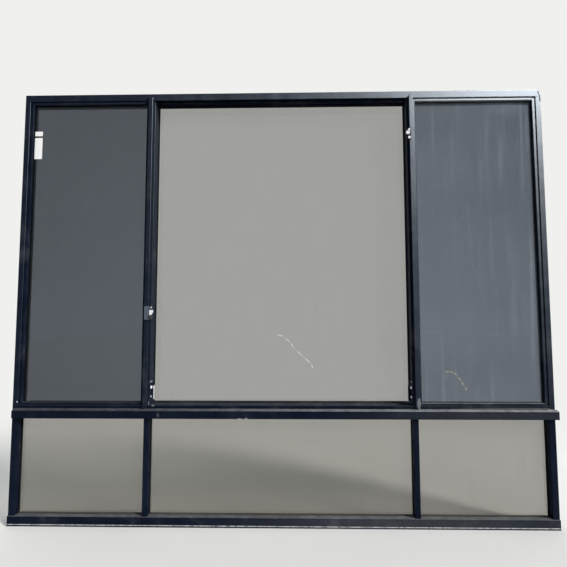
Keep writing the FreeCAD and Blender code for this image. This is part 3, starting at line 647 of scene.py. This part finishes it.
class WINDOW_OT_paint_sections(bpy.types.Operator):
    """Paint the aluminium sections of frame, sashes and screens."""
    bl_idname = "window.paint_sections"
    bl_label = "Paint sections"

    worn_foot = (6.5 * MM, 10.5 * MM)
    transom_marks_and_highlight = (
        PalePlace((-0.541, -0.020, 0.484), (0.010, 0.010, 0.014), share=0.12, soft=0.9),
        PalePlace((-0.178, -0.020, 0.4675), (0.014, 0.010, 0.0035), share=0.9, soft=0.3),
        PalePlace((-0.150, -0.020, 0.470), (0.008, 0.010, 0.005), share=0.5, soft=0.5),
        # Painted highlight: a broad pale lift over the transom's right half, for the glare of the light from
        # the upper right
        PalePlace((0.95, -0.020, 0.485), (0.85, 0.050, 0.060), share=0.04, soft=0.9),
    )
    # Painted highlight: a broad pale lift over the base sill's centre and right, for the glare of the light
    # from the upper right
    base_painted_highlight = (PalePlace((0.60, -0.006, 0.024), (1.10, 0.050, 0.060), share=0.065, soft=0.9),)
    right_stile_rubs = (PalePlace((0.6130, -0.004, 0.534), (0.0115, 0.020, 0.029), share=0.3, soft=0.15),)
    left_stile_rubs = (PalePlace((-0.5905, 0.0, 0.532), (0.0035, 0.020, 0.010), share=0.4, soft=0.3),)
    sill_marks_and_highlight = (
        PalePlace((-0.5700, 0.0, 0.5225), (0.0075, 0.010, 0.003), share=0.5, soft=0.3),
        # Painted highlight: a long pale line along the sill's lip at the right, where its edge catches the
        # light
        PalePlace((1.10, 0.0, 0.5140), (0.50, 0.010, 0.0035), share=0.22, soft=0.8),
    )
    # A broad pale band along the right half of the right sash's top rail
    top_rail_pale_band = (PalePlace((0.93, 0.005, 1.936), (0.60, 0.040, 0.060), share=0.3, soft=0.3),)
    corner_rubs = (
        PalePlace((1.2035, 0.0, 1.950), (0.0028, 0.020, 0.010), share=1.0, soft=0.4),
        PalePlace((1.2035, 0.0, 1.898), (0.0022, 0.020, 0.006), share=0.9, soft=0.4),
        PalePlace((1.2035, 0.0, 1.880), (0.0020, 0.020, 0.004), share=0.8, soft=0.4),
    )

    def execute(self, context):
        coat = context.scene.window_looks.coat
        behind_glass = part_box("left_sash_glass")[1].y
        plain = painted_finish("satin_paint", coat)
        sash = painted_finish("sash_paint", coat, chalk_and_painted_light_from=behind_glass)
        worn = painted_finish("worn_paint", coat, wear=1.5)
        special = {
            "base_sill": painted_finish(
                "sill_paint", coat, wear=1.6, dust=(0.24, 0.28), foot=self.worn_foot, rubs=self.base_painted_highlight),
            # Painted light on the transom: dust rising steeply to the right and a broad pale lift for the
            # glare there, and few pale smudges as painted shade
            "transom": painted_finish(
                "transom_paint", coat, wear=1.5, dust=(0.13, 0.5), rim_wear_and_highlight=1.0, rubs=self.transom_marks_and_highlight,
                smudges=0.015),
            "right_interlock": painted_finish(
                "shaded_paint", coat, dust=(0.02, 0.02), smudges=0.0, gloss=1.04),
            "right_sash_meeting_stile": painted_finish(
                "right_pull_paint", coat, rubs=self.right_stile_rubs),
            "upper_right_jamb": painted_finish(
                "right_jamb_paint", coat, wear=1.4, rubs=self.corner_rubs),
            "head": painted_finish("head_paint", coat, rubs=self.corner_rubs),
            "right_sash_top_rail": painted_finish(
                "top_rail_paint", coat, rubs=self.top_rail_pale_band, chalk_and_painted_light_from=behind_glass),
            "left_sash_meeting_stile": painted_finish(
                "left_pull_paint", coat, wear=1.5, rubs=self.left_stile_rubs),
            "upper_sill": painted_finish(
                "track_paint", coat, dust=(0.15, 0.3), rubs=self.sill_marks_and_highlight),
            "right_sash_bottom_rail": painted_finish(
                "low_rail_paint", coat, dust=(0.2, 0.45), chalk_and_painted_light_from=behind_glass),
        }
        # Painted shade: the low sections get few pale smudges, a darker copy of the paint for the shade they
        # lie in
        low = painted_finish("low_paint", coat, wear=1.2, smudges=0.01)
        screen = painted_finish("screen_paint", coat, wear=0.4)
        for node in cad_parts:
            if node in special:
                give(node, special[node])
            elif node.endswith(("_screen_stiles", "_screen_rails")):
                give(node, screen)
            elif node.startswith("low_") and node.endswith(PAINTED):
                give(node, low)
            elif node.endswith("_jamb"):
                give(node, worn)
            elif node.endswith(("_outer_stile", "_rail")):
                give(node, sash)
            elif node.endswith(PAINTED):
                give(node, plain)
        return {"FINISHED"}


class WINDOW_OT_glaze(bpy.types.Operator):
    """Give every pane its tint, dust and streaks, and every gasket its rubber."""
    bl_idname = "window.glaze"
    bl_label = "Glaze"

    # Points (x, z) along the scratch on the centre pane and the smear on the right sash pane
    scratch = (
        (-0.021, 0.835), (0.016, 0.826), (0.044, 0.798), (0.070, 0.763), (0.109, 0.7285), (0.142, 0.699),
        (0.151, 0.6755),
    )
    scratch_width = 3.6 * MM
    smear = (
        (0.738, 0.670), (0.756, 0.673), (0.774, 0.668), (0.791, 0.652), (0.808, 0.630), (0.820, 0.608),
        (0.833, 0.586),
    )
    smear_width = 6 * MM

    # Dust on the right sash pane: x, z, half width, half height and share
    dust_patches = (
        (1.146, 1.770, 0.014, 0.150, 0.2),
        (1.050, 1.890, 0.130, 0.045, 0.12),
        (0.740, 0.660, 0.020, 0.025, 0.12),
    )
    mark_depth = 10 * MM

    def execute(self, context):
        glass = context.scene.window_looks.glass
        dirt, low_tint_and_shade = tuple(glass.dirt), tuple(glass.low_tint_and_shade)
        sash_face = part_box("right_sash_glass")[0].y
        centre_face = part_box("centre_glass")[0].y
        right_marks = [
            Mark((x, sash_face, z), (half_width, self.mark_depth, half_height), share, 0.0, dirt)
            for x, z, half_width, half_height, share in self.dust_patches
        ]
        right_marks += self.stroke(
            self.smear, sash_face, self.smear_width, share=0.6, colour=tuple(glass.smear))
        centre_marks = self.stroke(
            self.scratch, centre_face, self.scratch_width, share=0.75, colour=tuple(glass.scratch))
        # Tint, film of dust, streaks and marks of each pane; the tints of the left sash pane and the low
        # panes hold painted shade
        panes = {
            "centre_glass": (tuple(glass.tint), 0.05, 0.03, centre_marks),
            "left_sash_glass": (tuple(glass.left_tint_and_shade), 0.02, 0.02, ()),
            "right_sash_glass": (tuple(glass.right_tint), 0.12, 0.18, right_marks),
            "low_left_glass": (low_tint_and_shade, 0.05, 0.02, ()),
            "low_centre_glass": (low_tint_and_shade, 0.05, 0.02, ()),
            "low_right_glass": (low_tint_and_shade, 0.08, 0.04, ()),
        }
        for node, (tint, film, streaks, marks) in panes.items():
            give(node, glass_finish(f"{node}_finish", tint, dirt, film, streaks, marks))
        rubber = rubber_finish("gasket_rubber")
        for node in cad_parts:
            if node.endswith("_gasket"):
                give(node, rubber)
        return {"FINISHED"}

    def stroke(self, path, face, width, share, colour):
        """Thin marks along a path of (x, z) points on a pane whose front lies at face."""
        overlap = 0.62
        marks = []
        for (x, z), (far_x, far_z) in zip(path, path[1:]):
            centre = ((x + far_x) / 2, face, (z + far_z) / 2)
            half = overlap * math.hypot(far_x - x, far_z - z)
            lean = math.atan2(z - far_z, far_x - x)
            marks.append(Mark(centre, (half, self.mark_depth, width), share, lean, colour))
        return marks


class WINDOW_OT_weave_screens(bpy.types.Operator):
    """Replace the plain mesh sheets by wires."""
    bl_idname = "window.weave_screens"
    bl_label = "Weave screens"

    def execute(self, context):
        screen = context.scene.window_looks.screen
        wire = wire_finish("mesh_wire")
        tree = mesh_tree()
        for word in SIDES:
            low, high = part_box(f"{word}_screen_mesh")
            piece = tree.bake(f"{word}_screen_wires", bpy.data.meshes.new("empty"), {
                "Corner": (low.x, (low.y + high.y) / 2, low.z), "Width": high.x - low.x,
                "Height": high.z - low.z, "Pitch": screen.pitch, "Wire": screen.wire, "Material": wire})
            settle(piece, "screen_mesh", f"{word}_screen_mesh")
        return {"FINISHED"}


class WINDOW_OT_fit_hardware(bpy.types.Operator):
    """Finish the latch, the catch, the foot brackets and the rollers."""
    bl_idname = "window.fit_hardware"
    bl_label = "Fit hardware"

    white = from_screen(236, 238, 242)
    dull_white = from_screen(190, 194, 200)
    lever_olive = from_screen(74, 76, 70)
    lever_shade = from_screen(40, 42, 44)
    # The lever is white above this height and olive below: partly its pale metal, partly a painted highlight
    # on its lit top
    lever_lit_white_from = 0.9215
    plate_blue = from_screen(82, 91, 106)
    plate_shade = from_screen(62, 70, 84)
    strip_grey = from_screen(66, 68, 64)
    strip_from = -0.5905
    plate_holes = (
        ((-0.5948, -0.014, 0.9150), (0.004, 0.010, 0.0055)),
        ((-0.584, -0.012, 0.9065), (0.008, 0.010, 0.003)),
    )
    catch_back = -12.3 * MM
    bracket_rubs = {
        "left": (
            PalePlace((-0.586, 0.021, 0.627), (0.004, 0.022, 0.0045), share=0.45, soft=0.3),
            PalePlace((-0.5752, 0.036, 0.576), (0.0045, 0.020, 0.300), share=1.0, soft=0.2),
        ),
        "right": (PalePlace((0.586, 0.021, 0.627), (0.004, 0.022, 0.0045), share=0.45, soft=0.3),),
    }

    def execute(self, context):
        coat = context.scene.window_looks.coat
        give("left_latch_lever", metal_finish(
            "lever_metal", self.lever_olive, self.lever_shade, roughness=0.4, metallic=0.2,
            change=(2, self.lever_lit_white_from, self.white)))
        give("left_latch_plate", metal_finish(
            "plate_metal", self.plate_blue, self.plate_shade, roughness=0.5, metallic=0.1,
            change=(0, self.strip_from, self.strip_grey), holes=self.plate_holes))
        give("right_catch", metal_finish(
            "catch_metal", self.white, self.dull_white, roughness=0.42, metallic=0.2,
            change=(1, self.catch_back, tuple(coat.colour))))
        for word, rubs in self.bracket_rubs.items():
            give(f"{word}_foot_bracket", painted_finish(
                f"{word}_bracket_paint", coat, rim_wear_and_highlight=0.3, rubs=rubs, bare=self.white))
            give(f"{word}_sash_rollers", nylon_finish(f"{word}_roller_nylon"))
        return {"FINISHED"}


class WINDOW_OT_drive_screws(bpy.types.Operator):
    """Set screw heads on the brackets, the latch and the frame."""
    bl_idname = "window.drive_screws"
    bl_label = "Drive screws"

    steel = from_screen(232, 234, 238)
    dull_steel = from_screen(170, 172, 176)
    # Sizes are scales of a head, two across and one along its axis
    plate_size = (0.8, 0.8, 0.9)
    jamb_size = (0.7, 0.7, 0.6)
    bracket_face = 585 * MM
    bracket_heights = (560 * MM, 601 * MM)
    bracket_sizes = {
        "left": ((1.0, 1.0, 2.0), (1.9, 1.9, 3.3)),
        "right": ((1.4, 1.4, 2.4), (1.7, 1.7, 2.8)),
    }

    def execute(self, context):
        hardware = context.scene.window_looks.hardware
        steel = metal_finish("screw_steel", self.steel, self.dull_steel, roughness=0.3, metallic=0.3)
        screws = self.list_screws()
        mesh = bpy.data.meshes.new("screw_points")
        mesh.from_pydata([place for place, _, _ in screws], [], [])
        for name, index in (("axis", 1), ("size", 2)):
            kept = mesh.attributes.new(name, "FLOAT_VECTOR", "POINT")
            for item, screw in zip(kept.data, screws):
                item.vector = screw[index]
        piece = screw_tree().bake("screw_heads", mesh, {
            "Radius": hardware.screw_radius, "Height of head": hardware.screw_height,
            "Recess": hardware.slot_width, "Material": steel})
        settle(piece, "bright_hardware")
        return {"FINISHED"}

    def list_screws(self):
        """Place, axis and size of each screw head."""
        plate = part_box("left_latch_plate")
        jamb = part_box("upper_left_jamb")
        room = (0, -1, 0)
        screws = [
            ((plate[1].x - 5 * MM, plate[0].y + 2 * MM, plate[1].z - 6 * MM), room, self.plate_size),
            ((jamb[0].x + 20 * MM, jamb[0].y, jamb[0].z + 35 * MM), room, self.jamb_size),
        ]
        for word, side in SIDES.items():
            low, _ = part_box(f"{word}_foot_bracket")
            for height, size in zip(self.bracket_heights, self.bracket_sizes[word]):
                place = (side * self.bracket_face, low.y + 10 * MM, height)
                screws.append((place, (-side, 0, 0), size))
        return screws


class WINDOW_OT_stick_labels(bpy.types.Operator):
    """Put the two blank stickers on the left sash pane."""
    bl_idname = "window.stick_labels"
    bl_label = "Stick labels"

    left_side, right_side = -1.1645, -1.1270
    heights = {"small_sticker": (1.7735, 1.7955), "tall_sticker": (1.6625, 1.7645)}
    corner = 2.5 * MM
    thick = 0.3 * MM

    def execute(self, context):
        paper = paper_finish("blank_paper")
        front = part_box("left_sash_glass")[0].y
        for name, (foot, top) in self.heights.items():
            outline = rounded_outline(self.left_side, self.right_side, foot, top, self.corner)
            mesh = sheet_mesh(name, [outline], front, self.thick)
            settle(place_mesh(name, mesh, paper), "bright_hardware")
        return {"FINISHED"}


class WINDOW_OT_seal_corner(bpy.types.Operator):
    """Lay the dark sealant in the open joint at the upper right corner."""
    bl_idname = "window.seal_corner"
    bl_label = "Seal corner"

    # Points (x, z) down the joint, and the left, right, foot and top of the hole at its end
    path = ((1.1935, 1.9585), (1.1955, 1.950), (1.1985, 1.940), (1.2005, 1.930), (1.2015, 1.920))
    hole = (1.1985, 1.2045, 1.911, 1.919)
    half_width = 1.5 * MM
    hole_corner = 2.9 * MM
    thick = 0.3 * MM

    def execute(self, context):
        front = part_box("upper_right_jamb")[0].y
        joint = [(x - self.half_width, z) for x, z in self.path]
        joint += [(x + self.half_width, z) for x, z in reversed(self.path)]
        hole = rounded_outline(*self.hole, self.hole_corner)
        mesh = sheet_mesh("corner_sealant", [joint, hole], front, self.thick)
        settle(place_mesh("corner_sealant", mesh, rubber_finish("old_sealant")), "gasket")
        return {"FINISHED"}


class WINDOW_OT_set_stage(bpy.types.Operator):
    """Set the floor, the backdrop, the light and the camera."""
    bl_idname = "window.set_stage"
    bl_label = "Set stage"

    # The floor's reach before the window, and the backdrop's depth, bend, height and half width
    floor_reach = -30.0
    wall_depth = 3.2
    wall_bend = 1.6
    wall_top = 9.0
    half_width = 12.0
    bend_steps = 16
    # Depths between which the ground turns into the pale floor, and the floor into the bright backdrop
    ground_to_paper = (-4.0, -0.7)
    paper_to_glow = (0.6, 2.2)

    sky_colour = (0.86, 0.94, 1.04, 1)
    lamp_colour = (1.0, 0.975, 0.94)
    lamp_direction = (0.70, -0.52, 0.49)
    lamp_angle = math.radians(14)
    panel_place = (3.17, -2.46, 5.0)
    panel_aim = (0.9, 0.0, 1.8)
    panel_size = 1.6

    def execute(self, context):
        stage = context.scene.window_looks.stage
        self.lay_floor(stage)
        self.hang_lights(context, stage)
        self.hang_panel(context, stage)
        self.stand_camera(context, stage)
        context.scene.view_settings.view_transform = "Standard"
        return {"FINISHED"}

    def lay_floor(self, stage):
        """A floor that curves up into a backdrop."""
        bend = self.wall_bend
        bend_from = self.wall_depth - bend
        profile = [(self.floor_reach, 0.0), (bend_from, 0.0)]
        for step in range(1, self.bend_steps + 1):
            angle = math.radians(90 * step / self.bend_steps)
            profile.append((bend_from + bend * math.sin(angle), bend - bend * math.cos(angle)))
        profile.append((self.wall_depth, self.wall_top))
        corners = [(side * self.half_width, y, z) for y, z in profile for side in (-1, 1)]
        faces = [(2 * k, 2 * k + 1, 2 * k + 3, 2 * k + 2) for k in range(len(profile) - 1)]
        mesh = bpy.data.meshes.new("floor")
        mesh.from_pydata(corners, [], faces)
        mesh.polygons.foreach_set("use_smooth", [True] * len(faces))
        floor = place_mesh("floor", mesh, self.floor_finish(stage))

    def floor_finish(self, stage):
        """Pale paper that shows evenly bright far behind the window."""
        paper = tuple(stage.paper)
        finish = Finish("pale_paper")
        cloud = finish.noise(1.3)
        tone = finish.blend(cloud, tuple(part * 0.97 for part in paper), paper)
        near = finish.fade(finish.axis(1), *self.ground_to_paper)
        tone = finish.blend(near, tuple(stage.ground), tone)
        lit = finish.add("ShaderNodeBsdfDiffuse", {"Color": tone}).outputs[0]
        path = finish.add("ShaderNodeLightPath")
        seen = finish.plus(
            path.outputs["Is Camera Ray"], path.outputs["Is Glossy Ray"],
            path.outputs["Is Transmission Ray"])
        far = finish.fade(finish.axis(1), *self.paper_to_glow)
        glow = finish.add("ShaderNodeEmission", {"Color": paper, "Strength": 1.0}).outputs[0]
        share = finish.times(seen, far)
        both = finish.add("ShaderNodeMixShader", {0: share, 1: lit, 2: glow}).outputs[0]
        return finish.done(both)

    def hang_lights(self, context, stage):
        """Soft light from all round and one large lamp."""
        world = bpy.data.worlds.new("soft_light")
        context.scene.world = world
        world.use_nodes = True
        light = world.node_tree.nodes["Background"]
        light.inputs["Color"].default_value = self.sky_colour
        light.inputs["Strength"].default_value = stage.sky
        data = bpy.data.lights.new("large_lamp", "SUN")
        data.energy = stage.lamp
        data.angle = self.lamp_angle
        data.color = self.lamp_colour
        lamp = bpy.data.objects.new("large_lamp", data)
        lamp.rotation_mode = "QUATERNION"
        lamp.rotation_quaternion = Vector(self.lamp_direction).to_track_quat("Z", "Y")
        context.scene.collection.objects.link(lamp)

    def hang_panel(self, context, stage):
        """A round panel for the gloss of the paint alone. Panes don't show it and it lights no floor."""
        data = bpy.data.lights.new("gloss_panel", "AREA")
        data.shape = "DISK"
        data.size = self.panel_size
        data.energy = stage.panel
        panel = bpy.data.objects.new("gloss_panel", data)
        panel.location = self.panel_place
        panel.rotation_mode = "QUATERNION"
        panel.rotation_quaternion = (panel.location - Vector(self.panel_aim)).to_track_quat("Z", "Y")
        panel.visible_diffuse = False
        panel.visible_transmission = False
        context.scene.collection.objects.link(panel)
        glossy = bpy.data.collections.new("glossy_sections")
        for name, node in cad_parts.items():
            if name.endswith(PAINTED) and name not in MATT:
                glossy.objects.link(node)
        panel.light_linking.receiver_collection = glossy

    def stand_camera(self, context, stage):
        """A camera at the settings' place and turn."""
        turn, tilt, roll = stage.camera_turn
        right = Vector((math.cos(turn), math.sin(turn), 0))
        ahead = Vector((-math.sin(turn) * math.cos(tilt), math.cos(turn) * math.cos(tilt), math.sin(tilt)))
        up = right.cross(ahead)
        across = right * math.cos(roll) + up * math.sin(roll)
        upward = up * math.cos(roll) - right * math.sin(roll)
        data = bpy.data.cameras.new("camera")
        data.sensor_width = SENSOR_WIDTH
        data.lens = SENSOR_WIDTH * stage.focal_pixels / PICTURE_WIDTH
        camera = bpy.data.objects.new("camera", data)
        axes = Matrix((across, upward, -ahead)).transposed().to_4x4()
        camera.matrix_world = Matrix.Translation(Vector(stage.camera_place)) @ axes
        context.scene.collection.objects.link(camera)
        context.scene.camera = camera


class WINDOW_PT_sidebar(bpy.types.Panel):
    """Lists the steps that dress the window and the sizes that they use."""
    bl_idname = "WINDOW_PT_sidebar"
    bl_label = "Sliding window"
    bl_space_type = "VIEW_3D"
    bl_region_type = "UI"
    bl_category = "Window"

    def draw(self, context):
        layout = self.layout
        looks = context.scene.window_looks
        for operator in OPERATORS:
            layout.operator(operator.bl_idname)
        for group in (looks.coat, looks.glass, looks.screen, looks.hardware, looks.stage):
            box = layout.box()
            for name in group.__annotations__:
                box.prop(group, name)


SETTINGS = (CoatSettings, GlassSettings, ScreenSettings, HardwareSettings, StageSettings, WindowSettings)
OPERATORS = (
    WINDOW_OT_set_stage, WINDOW_OT_paint_sections, WINDOW_OT_glaze, WINDOW_OT_weave_screens,
    WINDOW_OT_fit_hardware, WINDOW_OT_drive_screws, WINDOW_OT_stick_labels, WINDOW_OT_seal_corner,
)
CLASSES = SETTINGS + OPERATORS + (WINDOW_PT_sidebar,)


def register():
    for item in CLASSES:
        bpy.utils.register_class(item)
    bpy.types.Scene.window_looks = bpy.props.PointerProperty(type=WindowSettings)


def unregister():
    del bpy.types.Scene.window_looks
    for item in reversed(CLASSES):
        bpy.utils.unregister_class(item)


def main():
    register()
    bpy.ops.window.set_stage()
    bpy.ops.window.paint_sections()
    bpy.ops.window.glaze()
    bpy.ops.window.weave_screens()
    bpy.ops.window.fit_hardware()
    bpy.ops.window.drive_screws()
    bpy.ops.window.stick_labels()
    bpy.ops.window.seal_corner()


if __name__ == "__main__":
    main()
